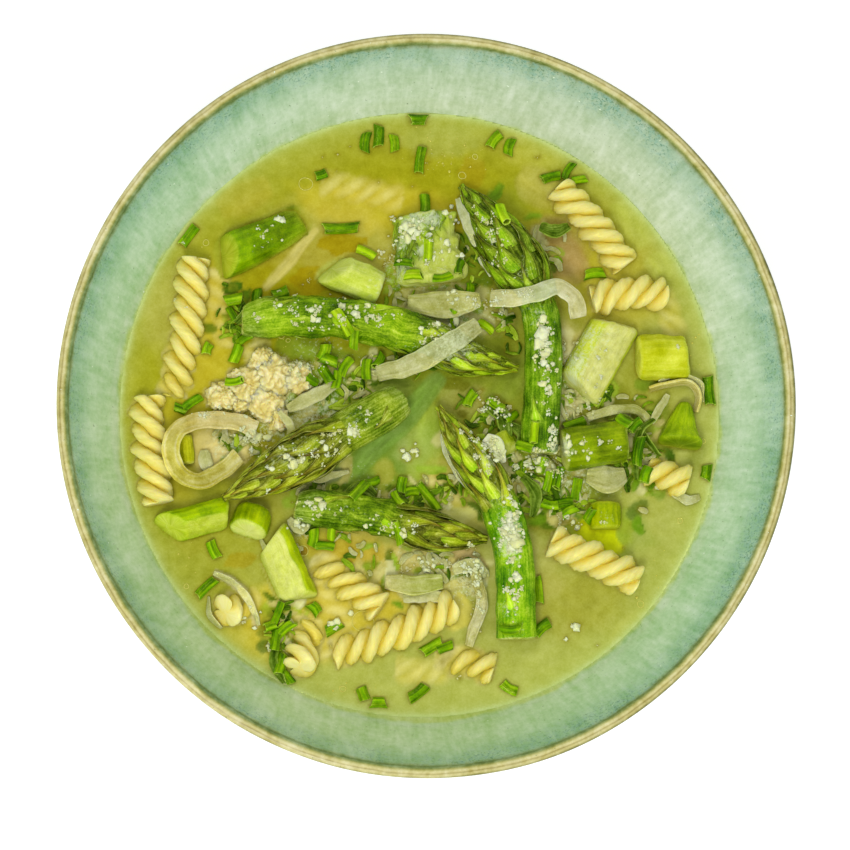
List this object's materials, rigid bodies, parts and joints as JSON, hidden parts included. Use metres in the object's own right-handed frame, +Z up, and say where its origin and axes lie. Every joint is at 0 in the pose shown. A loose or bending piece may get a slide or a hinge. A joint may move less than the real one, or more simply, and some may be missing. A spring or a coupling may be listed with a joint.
{
  "type": "bowl of pasta and asparagus soup",
  "caption": "Wide round glazed bowl filled with clear broth, short twisted pasta, asparagus spears and cuts, onion strips, chives and grated cheese.",
  "frame": {"origin": "on the surface it stands on, under the middle of the foot ring", "axes": "+Z up through the middle of the bowl; seen from above with +Y away, the longest spear with its tip at the far edge lies right of the middle"},
  "size_m": [0.2182, 0.2214, 0.062],
  "materials": {
    "glaze": "glossy green glaze with a bare tan lip and bluish streaks under it",
    "broth": "wet, clear yellow-green broth with fine bubbles",
    "pasta": "boiled pasta, smooth and a little wet",
    "asparagus_green": "boiled green asparagus, wet",
    "asparagus_head": "olive scales of an asparagus tip with crumbs of cheese",
    "asparagus_pale": "pale cut face of asparagus, wet",
    "asparagus_yellow": "yellow-green skin of asparagus, wet",
    "onion": "boiled onion, pale and half clear",
    "cheese": "fine grated cheese, dull"
  },
  "bodies": {
    "root": {"asparagus_cut_01": "asparagus_head", "asparagus_cut_02": "asparagus_green", "asparagus_cut_03": "asparagus_pale", "asparagus_cut_04": "asparagus_yellow", "asparagus_cut_05": "asparagus_pale", "asparagus_cut_06": "asparagus_green", "asparagus_cut_07": "asparagus_green", "asparagus_cut_08": "asparagus_pale", "asparagus_cut_09": "asparagus_pale", "asparagus_cut_10": "asparagus_pale", "asparagus_cut_11": "asparagus_yellow", "asparagus_cut_12": "asparagus_yellow", "asparagus_cut_13": "asparagus_yellow", "asparagus_spear_01": "asparagus_green", "asparagus_spear_02": "asparagus_green", "asparagus_spear_03": "asparagus_head", "asparagus_spear_04": "asparagus_head", "asparagus_spear_05": "asparagus_green", "bowl": "glaze", "broth": "broth", "cheese_cake": "cheese", "onion_arch": "onion", "onion_curl": "onion", "onion_petal": "onion", "onion_ring": "onion", "onion_sheet": "onion", "onion_shred": "onion", "onion_strip_over_spear": "onion", "onion_striped": "onion", "onion_thread": "onion", "pasta_01": "pasta", "pasta_02": "pasta", "pasta_03": "pasta", "pasta_04": "pasta", "pasta_05": "pasta", "pasta_06": "pasta", "pasta_07": "pasta", "pasta_08": "pasta", "pasta_09": "pasta", "pasta_10": "pasta", "pasta_11": "pasta"}
  },
  "joints": []
}
